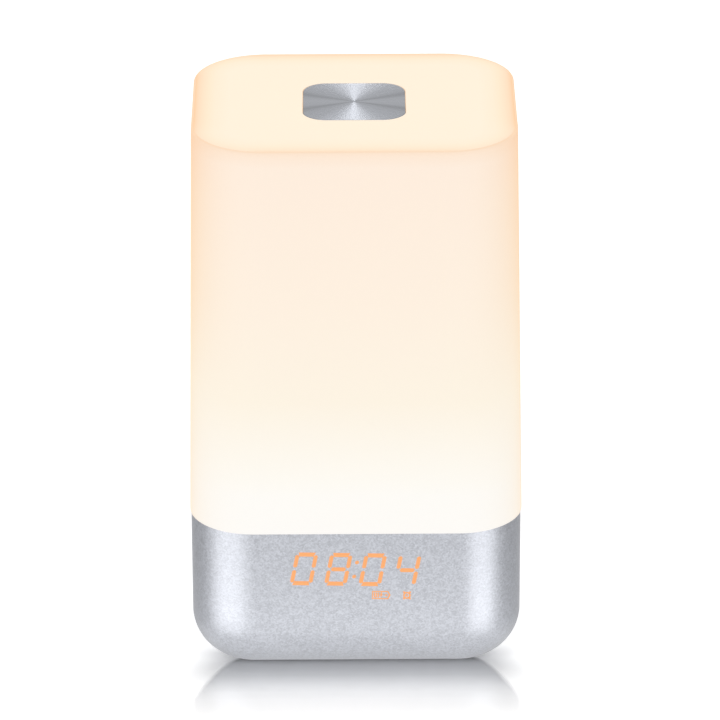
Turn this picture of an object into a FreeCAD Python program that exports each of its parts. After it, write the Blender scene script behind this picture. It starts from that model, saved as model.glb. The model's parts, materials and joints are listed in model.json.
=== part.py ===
import FreeCAD
import Part
import math
import os

from FreeCAD import Vector

# Sunrise alarm clock: a milky light shade standing on a silver base.
# Millimetres, +Z up, the front faces -Y, the origin is under the middle of the four feet.

# Body outline
body_width = 100.0
body_depth = 86.0
body_height = 170.0
seam_height = 48.5
corner_radius = 19.5

# Light shade
shade_draft_x = 2.05
shade_draft_y = 2.05
shade_top_corner_radius = 21.5
shade_wall = 2.0
shade_top_wall = 2.6
shade_edge_radius = 1.1
shade_inner_edge_radius = 3.0
lip_depth = 4.0
lip_wall = 1.4
lip_clearance = 0.2
snap_length = 12.0
snap_height = 1.2
snap_reach = 0.5
snap_clearance = 0.25

# Silver base
base_inset = 0.35
base_wall = 2.4
base_floor = 3.2
base_edge_radius = 14.5
foot_stand = 0.8

# Underside cover, feet and its screws
cover_margin = 18.0
cover_corner_radius = 3.8
cover_thickness = 1.6
cover_clearance = 0.2
cover_ledge = 2.2
cover_screw_inset = 4.0
cover_boss_top = 10.0
foot_radius = 4.0
foot_thickness = 1.4
foot_inset_x = 13.0
foot_inset_y = 5.0
grille_hole_radius = 0.9
grille_ring_pitch = 4.0
grille_rings = 3

# Screws, self-tapping with a pan head
screw_radius = 1.0
screw_head_radius = 1.9
screw_head_height = 1.0
screw_clearance = 0.05
pass_clearance = 0.2
boss_wall = 2.1
tray_screw_length = 8.5
lamp_screw_length = 5.0
display_screw_length = 5.0
retainer_screw_length = 3.2
cradle_screw_length = 6.5

# Light tray and its lamp board
tray_drop = 4.5
tray_thickness = 1.6
tray_edge_gap = 0.35
tray_rim_height = 1.9
tray_rim_wall = 1.2
post_inset_x = 13.5
post_inset_y = 12.0
post_radius = 3.2
rib_thickness = 1.2
lamp_board_width = 62.0
lamp_board_depth = 48.0
lamp_board_thickness = 1.0
lamp_board_corner = 4.0
lamp_screw_x = 27.0
lamp_screw_y = 20.0
lamp_size = 5.0
lamp_height = 1.4
lamp_pitch = 11.0
lamp_columns = 5
lamp_rows = 4

# Touch plate on the shade's top
plate_size = 30.4
plate_corner_radius = 7.0
plate_thickness = 1.2
plate_gap = 0.15
plate_chamfer = 0.2
adhesive_thickness = 0.15
adhesive_border = 1.0
plate_stud_radius = 1.5
plate_stud_length = 2.0
stud_hole_radius = 3.5

# Display behind the base's front wall
display_drop = 14.0
display_width = 45.0
display_height = 18.0
display_thickness = 6.0
display_skin = 1.0
display_pocket_gap = 0.5
display_film = 0.2
display_board_width = 60.0
display_board_thickness = 1.2
display_boss_x = 26.5
digit_height = 10.8
digit_width = 6.6
digit_pitch = 10.3
digit_rise = 2.3
segment_thickness = 1.2
segment_gap = 0.35
segment_slant = 0.17
segment_depth = 3.0
icon_drop = 6.2
battery_icon_width = 5.4
alarm_icon_width = 2.6
icon_height = 2.6
colon_radius = 0.6

# Main board at the rear, its keys and its charging socket
board_margin = 17.0
board_bottom = 14.0
board_drop = 4.0
board_thickness = 1.6
rail_grip = 1.6
rail_wall = 1.6
rail_clearance = 0.1
key_count = 5
key_margin = 3.0
key_drop = 7.0
key_width = 8.0
key_height = 4.6
key_gap = 0.2
key_flange = 0.8
key_flange_thickness = 1.0
key_proud = 0.8
key_travel = 0.5
panel_height = 11.0
panel_recess = 1.0
switch_size = 6.0
switch_height = 3.5
switch_press_gap = 0.7
switch_floor = 1.0
plunger_radius = 1.0
plunger_clearance = 0.1
socket_z = 19.5
socket_width = 7.5
socket_height = 2.7
socket_wall = 0.3
socket_opening_gap = 0.4
tongue_width = 3.8
tongue_thickness = 0.7

# Speaker on the underside cover
speaker_radius = 19.0
speaker_flange = 1.0
gasket_thickness = 0.8
basket_radius = 16.0
basket_top_radius = 11.0
basket_height = 6.0
basket_wall = 0.8
magnet_radius = 10.0
magnet_height = 5.5
retainer_inner_radius = 16.8
retainer_outer_radius = 20.0
retainer_thickness = 1.2
retainer_screw_x = 22.3

# Battery cell and its cradle
cell_radius = 9.2
cell_length = 65.0
cell_behind_display = 20.25
cradle_gap = 0.3
cradle_wall = 1.2
cradle_length = 56.0
cradle_drop = 8.0
cradle_flange_thickness = 1.4
cradle_screw_x = 21.0
cradle_boss_radius = 2.6
cell_pad_length = 30.0
cell_pad_width = 12.0

# Leads inside
lead_radius = 0.6
lead_pair_pitch = 2.0
lead_bend = 6.0
plug_width = 6.0
plug_height = 4.5
plug_depth = 4.4
plug_inset = 6.0
plug_pitch = 9.0
inner_plug_drop = 17.0
outer_plug_drop = 13.0
touch_lead_offset = 2.0
lamp_lead_offset = 16.0
controller_size = 7.0
controller_height = 1.0
memory_length = 5.0
memory_width = 4.0
memory_height = 1.2
capacitor_radius = 2.5
capacitor_height = 5.4
lower_row_rise = 4.5
ribbon_thickness = 0.8
display_plug_x = 20.0
display_plug_depth = 3.0
clip_width = 5.0
clip_height = 6.0
terminal_width = 3.2
terminal_height = 2.8

# Sizes worked out from the ones above
base_width = body_width - 2 * base_inset
base_depth = body_depth - 2 * base_inset
base_corner = corner_radius - base_inset
inner_width = base_width - 2 * base_wall
inner_depth = base_depth - 2 * base_wall
inner_corner = base_corner - base_wall
floor_top = foot_stand + base_floor
cover_top = foot_stand + cover_thickness
front_inner_y = -inner_depth / 2
rear_inner_y = inner_depth / 2
rear_outer_y = base_depth / 2
lip_width = inner_width - 2 * lip_clearance
lip_outer_depth = inner_depth - 2 * lip_clearance
lip_corner = inner_corner - lip_clearance
tray_width = lip_width - 2 * lip_wall - 2 * tray_edge_gap
tray_depth = lip_outer_depth - 2 * lip_wall - 2 * tray_edge_gap
tray_corner = lip_corner - lip_wall - tray_edge_gap
tray_bottom = seam_height - tray_drop
tray_top = tray_bottom + tray_thickness
lamp_board_top = tray_top + lamp_board_thickness
tap_radius = screw_radius + screw_clearance
pass_radius = screw_radius + pass_clearance
screw_boss_radius = screw_radius + boss_wall
cover_width = body_width - 2 * cover_margin
cover_depth = body_depth - 2 * cover_margin
cover_screw_x = cover_width / 2 - cover_screw_inset
cover_screw_y = cover_depth / 2 - cover_screw_inset
foot_x = cover_width / 2 - foot_inset_x
foot_y = cover_depth / 2 - foot_inset_y
post_x = body_width / 2 - post_inset_x
post_y = body_depth / 2 - post_inset_y
board_width = body_width - 2 * board_margin
panel_width = board_width
board_top = tray_bottom - board_drop
key_z = board_top - key_drop
key_inner_y = rear_inner_y - key_gap / 4 - key_flange_thickness
board_rear_y = key_inner_y - switch_press_gap - switch_height
board_front_y = board_rear_y - board_thickness
recess_y = rear_outer_y - panel_recess
display_front_y = -base_depth / 2 + display_skin
display_film_y = display_front_y + display_film
display_back_y = display_film_y + display_thickness
display_board_y = display_back_y + display_board_thickness
display_centre_z = seam_height - display_drop
digit_centre_z = display_centre_z + digit_rise
icon_centre_z = display_centre_z - icon_drop
plug_front_y = board_front_y - plug_depth
outer_plug_x = board_width / 2 - plug_inset
inner_plug_x = outer_plug_x - plug_pitch
key_pitch = (board_width - 2 * key_margin) / key_count
inner_plug_z = board_top - inner_plug_drop
outer_plug_z = board_top - outer_plug_drop
touch_lead_y = board_rear_y + touch_lead_offset
lamp_lead_y = plug_front_y - lamp_lead_offset + 3
speaker_top = cover_top + gasket_thickness + speaker_flange + basket_height + magnet_height
cradle_top = tray_bottom - cradle_drop
cell_y = display_board_y + cell_behind_display
cell_z = (speaker_top + tray_bottom) / 2


def rounded_wire(width, depth, radius, z):
    """Closed outline of a rectangle with round corners, centred on the Z axis."""
    hx = width / 2
    hy = depth / 2
    r = radius
    k = r * (1 - math.sqrt(0.5))
    corners = []
    for sx, sy in ((1, 1), (-1, 1), (-1, -1), (1, -1)):
        along_x = Vector(sx * (hx - r), sy * hy, z)
        along_y = Vector(sx * hx, sy * (hy - r), z)
        middle = Vector(sx * (hx - k), sy * (hy - k), z)
        first, last = (along_y, along_x) if sx * sy > 0 else (along_x, along_y)
        corners.append((first, middle, last))
    edges = []
    for i, (first, middle, last) in enumerate(corners):
        edges.append(Part.Arc(first, middle, last).toShape())
        following = corners[(i + 1) % 4][0]
        if last.distanceToPoint(following) > 1e-6:
            edges.append(Part.LineSegment(last, following).toShape())
    return Part.Wire(edges)


def rounded_block(width, depth, radius, z0, z1):
    """Upright block with round corners between two heights."""
    face = Part.Face(rounded_wire(width, depth, radius, z0))
    return face.extrude(Vector(0, 0, z1 - z0))


def box(x0, x1, y0, y1, z0, z1):
    return Part.makeBox(x1 - x0, y1 - y0, z1 - z0, Vector(x0, y0, z0))


def cylinder(radius, x, y, z0, z1):
    return Part.makeCylinder(radius, z1 - z0, Vector(x, y, z0))


def cylinder_y(radius, x, z, y0, y1):
    return Part.makeCylinder(radius, y1 - y0, Vector(x, y0, z), Vector(0, 1, 0))


def cylinder_x(radius, y, z, x0, x1):
    return Part.makeCylinder(radius, x1 - x0, Vector(x0, y, z), Vector(1, 0, 0))


def edges_at(shape, z):
    """Edges that lie wholly at one height."""
    found = []
    for edge in shape.Edges:
        bounds = edge.BoundBox
        if abs(bounds.ZMin - z) < 1e-4 and abs(bounds.ZMax - z) < 1e-4:
            found.append(edge)
    return found


def four(x, y):
    """The four points that mirror one point about both axes."""
    return [(x, y), (-x, y), (-x, -y), (x, -y)]


def stadium_y(width, height, x, z, y0, y1):
    """Bar with round ends lying in X, pushed through along Y."""
    r = height / 2
    half = width / 2 - r
    bar = cylinder_y(r, x - half, z, y0, y1)
    bar = bar.fuse(cylinder_y(r, x + half, z, y0, y1))
    bar = bar.fuse(box(x - half, x + half, y0, y1, z - r, z + r))
    return bar.removeSplitter()


def screw_up(x, y, head_z, length):
    """Screw driven upwards, with its head's underside facing up at head_z."""
    head = cylinder(screw_head_radius, x, y, head_z - screw_head_height, head_z)
    return head.fuse(cylinder(screw_radius, x, y, head_z, head_z + length))


def screw_down(x, y, head_z, length):
    """Screw driven downwards, with its head resting on head_z."""
    head = cylinder(screw_head_radius, x, y, head_z, head_z + screw_head_height)
    return head.fuse(cylinder(screw_radius, x, y, head_z - length, head_z))


def bent_path(points):
    """Straight runs joined by arcs that touch both runs."""
    edges = []
    start = points[0]
    for i in range(1, len(points) - 1):
        back = points[i - 1] - points[i]
        ahead = points[i + 1] - points[i]
        shorter = min(back.Length, ahead.Length)
        back.normalize()
        ahead.normalize()
        reach = 0.45 * shorter
        first = points[i] + back * reach
        last = points[i] + ahead * reach
        half = back.getAngle(ahead) / 2
        radius = reach * math.tan(half)
        inward = back + ahead
        inward.normalize()
        centre_distance = math.hypot(reach, radius)
        middle = points[i] + inward * (centre_distance - radius)
        edges.append(Part.LineSegment(start, first).toShape())
        edges.append(Part.Arc(first, middle, last).toShape())
        start = last
    edges.append(Part.LineSegment(start, points[-1]).toShape())
    return Part.Wire(edges)


def lead(points, radius=None):
    """Round insulated wire along straight runs and arcs."""
    wire_radius = lead_radius if radius is None else radius
    route = [Vector(*p) for p in points]
    path = bent_path(route)
    section = Part.Wire(Part.Circle(route[0], route[1] - route[0], wire_radius).toShape())
    return path.makePipeShell([section], True, False)


def shade_outline(inset, z):
    """Outline of the tapering shade at a height, moved inwards by an inset."""
    share = (z - seam_height) / (body_height - seam_height)
    width = body_width - 2 * shade_draft_x * share - 2 * inset
    depth = body_depth - 2 * shade_draft_y * share - 2 * inset
    radius = corner_radius + (shade_top_corner_radius - corner_radius) * share - inset
    return rounded_wire(width, depth, radius, z)


def shade_cavity():
    """Free space inside the shade, above its lower lip."""
    low = shade_outline(shade_wall, seam_height)
    high = shade_outline(shade_wall, body_height - shade_top_wall)
    cavity = Part.makeLoft([low, high], True, True)
    top_edges = edges_at(cavity, body_height - shade_top_wall)
    return cavity.makeFillet(shade_inner_edge_radius, top_edges)


def snap_blocks(reach, extra):
    """Four snap beads round the lip, one on each side, grown by a clearance."""
    z0 = seam_height - lip_depth / 2 - snap_height / 2 - extra
    z1 = z0 + snap_height + 2 * extra
    half = snap_length / 2 + extra
    beads = []
    for side in (-1, 1):
        x0 = side * (lip_width / 2 - lip_wall / 2)
        x1 = side * (lip_width / 2 + reach)
        beads.append(box(min(x0, x1), max(x0, x1), -half, half, z0, z1))
    y0 = lip_outer_depth / 2 - lip_wall / 2
    y1 = lip_outer_depth / 2 + reach
    for centre in (-1, 1):
        x = centre * inner_width / 3.4
        beads.append(box(x - half, x + half, y0, y1, z0, z1))
        beads.append(box(x - half, x + half, -y1, -y0, z0, z1))
    return beads


def light_shade():
    outer = Part.makeLoft([shade_outline(0, seam_height), shade_outline(0, body_height)], True, True)
    outer = outer.makeFillet(shade_edge_radius, edges_at(outer, body_height))
    shade = outer.cut(shade_cavity())
    lip_bottom = seam_height - lip_depth
    lip = rounded_block(lip_width, lip_outer_depth, lip_corner, lip_bottom, seam_height + shade_wall)
    shoulder = rounded_block(
        body_width - shade_wall, body_depth - shade_wall, corner_radius - shade_wall / 2,
        seam_height, seam_height + shade_wall,
    )
    inside = rounded_block(
        lip_width - 2 * lip_wall, lip_outer_depth - 2 * lip_wall, lip_corner - lip_wall,
        lip_bottom, seam_height + shade_wall,
    )
    lip = lip.fuse(shoulder).cut(inside)
    for bead in snap_blocks(snap_reach, 0.0):
        lip = lip.fuse(bead)
    shade = shade.fuse(lip)
    pocket_bottom = body_height - plate_thickness - adhesive_thickness
    pocket = rounded_block(
        plate_size + 2 * plate_gap, plate_size + 2 * plate_gap, plate_corner_radius + plate_gap,
        pocket_bottom, body_height + 1,
    )
    shade = shade.cut(pocket)
    shade = shade.cut(cylinder(stud_hole_radius, 0, 0, body_height - 2 * shade_top_wall, body_height))
    return shade.removeSplitter()


def touch_plate():
    z0 = body_height - plate_thickness
    plate = rounded_block(plate_size, plate_size, plate_corner_radius, z0, body_height)
    plate = plate.makeChamfer(plate_chamfer, edges_at(plate, body_height))
    return plate.fuse(cylinder(plate_stud_radius, 0, 0, z0 - plate_stud_length, z0))


def touch_plate_adhesive():
    z1 = body_height - plate_thickness
    z0 = z1 - adhesive_thickness
    size = plate_size - 2 * adhesive_border
    pad = rounded_block(size, size, plate_corner_radius - adhesive_border, z0, z1)
    return pad.cut(cylinder(stud_hole_radius, 0, 0, z0, z1))


def base_outer():
    block = rounded_block(base_width, base_depth, base_corner, foot_stand, seam_height)
    return block.makeFillet(base_edge_radius, edges_at(block, foot_stand))


def base_inner():
    block = rounded_block(inner_width, inner_depth, inner_corner, floor_top, seam_height + 1)
    return block.makeFillet(base_edge_radius - base_wall, edges_at(block, floor_top))


def post_with_rib(x, y, top):
    """Screw post for the light tray, tied to the side wall by a rib."""
    post = cylinder(post_radius, x, y, foot_stand, top)
    wall_x = math.copysign(base_width / 2, x)
    rib = box(
        min(x, wall_x), max(x, wall_x), y - rib_thickness / 2, y + rib_thickness / 2,
        foot_stand, top - lip_depth,
    )
    return post.fuse(rib)


def board_rail(side):
    """Upright rail that grips one edge of the main board."""
    edge = side * board_width / 2
    inner = edge - side * rail_grip
    outer = edge + side * (rail_wall + rail_clearance)
    y0 = board_front_y - rail_clearance - rail_wall
    rail = box(min(inner, outer), max(inner, outer), y0, rear_outer_y, foot_stand, board_top - lip_depth / 2)
    slot_edge = edge + side * rail_clearance
    slot = box(
        min(inner, slot_edge), max(inner, slot_edge),
        board_front_y - rail_clearance, board_rear_y + rail_clearance, board_bottom, board_top,
    )
    return rail.cut(slot)


def key_positions():
    middle = (key_count - 1) / 2
    return [(i - middle) * key_pitch for i in range(key_count)]


def base_shell():
    outer = base_outer()
    shell = outer.cut(base_inner())
    inside = []
    for x, y in four(post_x, post_y):
        inside.append(post_with_rib(x, y, tray_bottom))
    for side in (-1, 1):
        inside.append(board_rail(side))
    for side in (-1, 1):
        inside.append(cylinder_y(
            screw_boss_radius, side * display_boss_x, display_centre_z, -rear_outer_y, display_back_y,
        ))
    for x, y in four(cover_screw_x, cover_screw_y):
        inside.append(cylinder(screw_boss_radius, x, y, cover_top, cover_boss_top))
    for piece in inside:
        shell = shell.fuse(piece)
    shell = shell.common(outer)
    recess = rounded_block(
        cover_width + 2 * cover_clearance, cover_depth + 2 * cover_clearance,
        cover_corner_radius + cover_clearance, foot_stand - 1, cover_top,
    )
    opening = rounded_block(
        cover_width - 2 * cover_ledge, cover_depth - 2 * cover_ledge,
        cover_corner_radius, cover_top - 1, floor_top + 1,
    )
    for x, y in four(cover_screw_x, cover_screw_y):
        opening = opening.cut(cylinder(screw_boss_radius + 2, x, y, cover_top - 2, floor_top + 2))
    shell = shell.cut(recess).cut(opening)
    for x, y in four(cover_screw_x, cover_screw_y):
        shell = shell.cut(cylinder(tap_radius, x, y, cover_top - 1, cover_boss_top - 1))
    for x, y in four(post_x, post_y):
        shell = shell.cut(cylinder(tap_radius, x, y, tray_bottom - 9, tray_bottom + 1))
    for side in (-1, 1):
        shell = shell.cut(cylinder_y(
            tap_radius, side * display_boss_x, display_centre_z, display_front_y + 1, display_back_y + 1,
        ))
    shell = shell.cut(box(
        -display_width / 2 - display_pocket_gap, display_width / 2 + display_pocket_gap,
        display_front_y, front_inner_y + 1,
        display_centre_z - display_height / 2 - display_pocket_gap,
        display_centre_z + display_height / 2 + display_pocket_gap,
    ))
    shell = shell.cut(stadium_y(panel_width, panel_height, 0, key_z, recess_y, rear_outer_y + 1))
    for x in key_positions():
        shell = shell.cut(stadium_y(
            key_width + 2 * key_gap, key_height + 2 * key_gap, x, key_z, rear_inner_y - 1, rear_outer_y,
        ))
    shell = shell.cut(stadium_y(
        socket_width + 2 * socket_opening_gap, socket_height + 2 * socket_opening_gap,
        0, socket_z, rear_inner_y - 1, rear_outer_y + 1,
    ))
    for bead in snap_blocks(snap_reach + snap_clearance, snap_clearance):
        shell = shell.cut(bead)
    return shell.removeSplitter()


def grille_points():
    points = [(0.0, 0.0)]
    for ring in range(1, grille_rings + 1):
        holes = 6 * ring
        for i in range(holes):
            turn = 2 * math.pi * i / holes
            radius = ring * grille_ring_pitch
            points.append((radius * math.cos(turn), radius * math.sin(turn)))
    return points


def bottom_cover():
    cover = rounded_block(cover_width, cover_depth, cover_corner_radius, foot_stand, cover_top)
    for side in (-1, 1):
        post_top = cover_top + gasket_thickness + speaker_flange
        cover = cover.fuse(cylinder(screw_boss_radius, side * retainer_screw_x, 0, foot_stand, post_top))
        cover = cover.cut(cylinder(tap_radius, side * retainer_screw_x, 0, cover_top - 0.6, post_top))
    for x, y in four(cover_screw_x, cover_screw_y):
        cover = cover.cut(cylinder(pass_radius, x, y, foot_stand - 1, cover_top))
        cover = cover.cut(cylinder(
            screw_head_radius + pass_clearance, x, y, foot_stand - 1, foot_stand + screw_head_height,
        ))
    for x, y in four(foot_x, foot_y):
        cover = cover.cut(cylinder(foot_radius, x, y, foot_stand - 1, foot_thickness))
    for x, y in grille_points():
        cover = cover.cut(cylinder(grille_hole_radius, x, y, foot_stand - 1, cover_top + 1))
    return cover


def rubber_feet():
    return [cylinder(foot_radius, x, y, 0, foot_thickness) for x, y in four(foot_x, foot_y)]


def bottom_cover_screws():
    z = foot_stand + screw_head_height
    length = cover_boss_top - 2 - z
    return [screw_up(x, y, z, length) for x, y in four(cover_screw_x, cover_screw_y)]


def light_tray():
    tray = rounded_block(tray_width, tray_depth, tray_corner, tray_bottom, tray_top + tray_rim_height)
    hollow = rounded_block(
        tray_width - 2 * tray_rim_wall, tray_depth - 2 * tray_rim_wall, tray_corner - tray_rim_wall,
        tray_top, tray_top + tray_rim_height + 1,
    )
    tray = tray.cut(hollow)
    for x, y in cradle_screws_at():
        tray = tray.fuse(cylinder(cradle_boss_radius, x, y, cradle_top, tray_bottom))
    for x, y in four(lamp_screw_x, lamp_screw_y):
        tray = tray.fuse(cylinder(cradle_boss_radius, x, y, tray_bottom - 4, tray_bottom))
    for x, y in cradle_screws_at():
        tray = tray.cut(cylinder(tap_radius, x, y, cradle_top, tray_bottom))
    for x, y in four(lamp_screw_x, lamp_screw_y):
        tray = tray.cut(cylinder(tap_radius, x, y, tray_bottom - 4, tray_top))
    for x, y in four(post_x, post_y):
        tray = tray.cut(cylinder(pass_radius, x, y, tray_bottom - 1, tray_top + 1))
    notch = lead_radius + 0.8
    tray = tray.cut(box(
        -notch, notch, touch_lead_y - notch, tray_depth / 2 + 1,
        tray_bottom - 1, tray_top + tray_rim_height + 1,
    ))
    half_slot = plug_width / 2
    tray = tray.cut(box(
        inner_plug_x - half_slot, inner_plug_x + half_slot, lamp_lead_y - 1.4, lamp_lead_y + 1.4,
        tray_bottom - 1, tray_top + 1,
    ))
    return tray


def light_tray_screws():
    return [screw_down(x, y, tray_top, tray_screw_length) for x, y in four(post_x, post_y)]


def lamp_board():
    board = rounded_block(lamp_board_width, lamp_board_depth, lamp_board_corner, tray_top, lamp_board_top)
    for x, y in four(lamp_screw_x, lamp_screw_y):
        board = board.cut(cylinder(pass_radius, x, y, tray_top - 1, lamp_board_top + 1))
    return board


def lamp_board_screws():
    return [screw_down(x, y, lamp_board_top, lamp_screw_length) for x, y in four(lamp_screw_x, lamp_screw_y)]


def lamps():
    found = []
    for i in range(lamp_columns):
        for j in range(lamp_rows):
            x = (i - (lamp_columns - 1) / 2) * lamp_pitch
            y = (j - (lamp_rows - 1) / 2) * lamp_pitch
            half = lamp_size / 2
            body = box(x - half, x + half, y - half, y + half, lamp_board_top, lamp_board_top + lamp_height)
            dish = Part.makeCone(
                lamp_size * 0.3, lamp_size * 0.4, lamp_height / 2,
                Vector(x, y, lamp_board_top + lamp_height / 2),
            )
            found.append(body.cut(dish))
    return found


def digit_segments(x, z):
    """Seven slanted bars of one digit, as outlines pushed along Y."""
    t = segment_thickness
    g = segment_gap
    w = digit_width
    h = digit_height
    long_x = w / 2 - t / 2 - g
    half_z = h / 4 - t / 4 - g / 2

    def bar(cx, cz, along_x):
        if along_x:
            outline = [(-long_x, 0), (-long_x + t / 2, t / 2), (long_x - t / 2, t / 2),
                       (long_x, 0), (long_x - t / 2, -t / 2), (-long_x + t / 2, -t / 2)]
        else:
            outline = [(0, -half_z), (t / 2, -half_z + t / 2), (t / 2, half_z - t / 2),
                       (0, half_z), (-t / 2, half_z - t / 2), (-t / 2, -half_z + t / 2)]
        corners = []
        for px, pz in outline:
            rise = cz + pz
            corners.append(Vector(x + cx + px + rise * segment_slant, display_film_y, z + rise))
        face = Part.Face(Part.makePolygon(corners + corners[:1]))
        return face.extrude(Vector(0, segment_depth, 0))

    side = w / 2 - t / 2
    upper = h / 4 - t / 4
    bars = [bar(0, h / 2 - t / 2, True), bar(0, 0, True), bar(0, -h / 2 + t / 2, True)]
    for sx in (-1, 1):
        for sz in (-1, 1):
            bars.append(bar(sx * side, sz * upper, False))
    return bars


def digit_places():
    return [(i - 1.5) * digit_pitch for i in range(4)]


def display_lights():
    """All the windows that the display can light: digits, colon and two icons."""
    found = []
    for x in digit_places():
        found += digit_segments(x, digit_centre_z)
    for rise in (-digit_height * 0.18, digit_height * 0.18):
        found.append(cylinder_y(
            colon_radius, rise * segment_slant, digit_centre_z + rise,
            display_film_y, display_film_y + segment_depth,
        ))
    for x, width in ((digit_pitch * 0.8, battery_icon_width), (digit_pitch * 1.54, alarm_icon_width)):
        found.append(box(
            x - width / 2, x + width / 2, display_film_y, display_film_y + segment_depth,
            icon_centre_z - icon_height / 2, icon_centre_z + icon_height / 2,
        ))
    return found


def display_case():
    half = display_width / 2
    case = box(
        -half, half, display_film_y, display_back_y,
        display_centre_z - display_height / 2, display_centre_z + display_height / 2,
    )
    return case.cut(Part.makeCompound(display_lights()))


def display_diffuser_film():
    half = display_width / 2
    return box(
        -half, half, display_front_y, display_film_y,
        display_centre_z - display_height / 2, display_centre_z + display_height / 2,
    )


def display_board():
    half = display_board_width / 2
    board = box(
        -half, half, display_back_y, display_board_y,
        display_centre_z - display_height / 2, display_centre_z + display_height / 2,
    )
    for side in (-1, 1):
        board = board.cut(cylinder_y(
            pass_radius, side * display_boss_x, display_centre_z, display_back_y - 1, display_board_y + 1,
        ))
    return board


def display_board_screws():
    found = []
    for side in (-1, 1):
        x = side * display_boss_x
        head_y = display_board_y + screw_head_height
        shank_y = display_board_y - display_screw_length
        head = cylinder_y(screw_head_radius, x, display_centre_z, display_board_y, head_y)
        found.append(head.fuse(cylinder_y(screw_radius, x, display_centre_z, shank_y, display_board_y)))
    return found


def main_board():
    half = board_width / 2
    return box(-half, half, board_front_y, board_rear_y, board_bottom, board_top)


def board_chip(x, z, width, height, thickness):
    return box(
        x - width / 2, x + width / 2, board_front_y - thickness, board_front_y,
        z - height / 2, z + height / 2,
    )


def main_board_chips():
    upper = board_top - key_drop
    lower = board_bottom + lower_row_rise
    step = controller_size / 2 + memory_length
    chips = [board_chip(0, upper, controller_size, controller_size, controller_height)]
    for x, z in ((-step, upper), (step, upper), (step, lower)):
        chips.append(board_chip(x, z, memory_length, memory_width, memory_height))
    for x in (-step, -step + 3 * capacitor_radius):
        chips.append(cylinder_y(capacitor_radius, x, lower, board_front_y - capacitor_height, board_front_y))
    return chips


def board_plugs():
    """Lead sockets on the main board's inner face: display, speaker, lamps and battery."""
    found = []
    for x, z in plug_places():
        found.append(box(
            x - plug_width / 2, x + plug_width / 2, plug_front_y, board_front_y,
            z - plug_height / 2, z + plug_height / 2,
        ))
    return found


def key_switches():
    found = []
    for x in key_positions():
        half = switch_size / 2
        body = box(x - half, x + half, board_rear_y, board_rear_y + switch_height, key_z - half, key_z + half)
        bore = cylinder_y(
            plunger_radius + plunger_clearance, x, key_z,
            board_rear_y + switch_floor, board_rear_y + switch_height + 1,
        )
        found.append(body.cut(bore))
    return found


def switch_plunger(x):
    start = board_rear_y + switch_floor + key_travel + plunger_clearance
    return cylinder_y(plunger_radius, x, key_z, start, key_inner_y)


def key_cap(x):
    y0 = key_inner_y
    y1 = y0 + key_flange_thickness
    flange = stadium_y(key_width + 2 * key_flange, key_height + 2 * key_flange, x, key_z, y0, y1)
    cap = stadium_y(key_width, key_height, x, key_z, y0, recess_y + key_proud)
    rim = [e for e in cap.Edges if abs(e.BoundBox.YMin - recess_y - key_proud) < 1e-4
           and abs(e.BoundBox.YMax - recess_y - key_proud) < 1e-4]
    cap = cap.makeFillet(0.3, rim)
    return flange.fuse(cap).removeSplitter()


def charging_socket():
    y1 = recess_y
    outer = stadium_y(socket_width, socket_height, 0, socket_z, board_rear_y, y1)
    inner = stadium_y(
        socket_width - 2 * socket_wall, socket_height - 2 * socket_wall,
        0, socket_z, board_rear_y + 1.2, y1 + 1,
    )
    return outer.cut(inner)


def charging_socket_tongue():
    half = tongue_width / 2
    y0 = board_rear_y + 1.2
    rise = tongue_thickness / 2
    return box(-half, half, y0, recess_y - 1.0, socket_z - rise, socket_z + rise)


def speaker_gasket():
    ring = cylinder(speaker_radius, 0, 0, cover_top, cover_top + gasket_thickness)
    return ring.cut(cylinder(basket_radius - 0.5, 0, 0, cover_top, cover_top + gasket_thickness))


def speaker_basket():
    z0 = cover_top + gasket_thickness
    z1 = z0 + speaker_flange
    z2 = z1 + basket_height
    flange = cylinder(speaker_radius, 0, 0, z0, z1)
    cone = Part.makeCone(basket_radius, basket_top_radius, z2 - z1, Vector(0, 0, z1))
    body = flange.fuse(cone)
    inner = Part.makeCone(
        basket_radius - basket_wall, basket_top_radius - basket_wall, z2 - z1 - basket_wall, Vector(0, 0, z1),
    )
    body = body.cut(inner).cut(cylinder(basket_radius - basket_wall, 0, 0, z0, z1))
    for i in range(4):
        slot = box(basket_top_radius - 2, basket_radius + 1, -3, 3, z1 + 1.2, z2 - 1.6)
        slot.rotate(Vector(0, 0, 0), Vector(0, 0, 1), 45 + 90 * i)
        body = body.cut(slot)
    return body


def speaker_cone():
    z0 = cover_top + gasket_thickness + 0.4
    rim = basket_radius - basket_wall
    outer = Part.makeCone(rim, 5.0, 3.4, Vector(0, 0, z0))
    inner = Part.makeCone(rim - 0.5, 4.5, 3.4, Vector(0, 0, z0 - 0.35))
    cone = outer.cut(inner)
    voice_top = cover_top + gasket_thickness + speaker_flange + basket_height - basket_wall
    voice = cylinder(5.0, 0, 0, z0 + 3.0, voice_top)
    voice = voice.cut(cylinder(4.4, 0, 0, z0 + 2.6, z0 + 12))
    dome = Part.makeSphere(7.25, Vector(0, 0, z0 + 8.45)).common(cylinder(5.0, 0, 0, z0, z0 + 3.4))
    dome = dome.cut(Part.makeSphere(6.85, Vector(0, 0, z0 + 8.45)))
    return cone.fuse(voice).fuse(dome)


def speaker_magnet():
    z0 = cover_top + gasket_thickness + speaker_flange + basket_height
    magnet = cylinder(magnet_radius, 0, 0, z0, z0 + magnet_height)
    return magnet.makeChamfer(0.5, edges_at(magnet, z0 + magnet_height))


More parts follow.
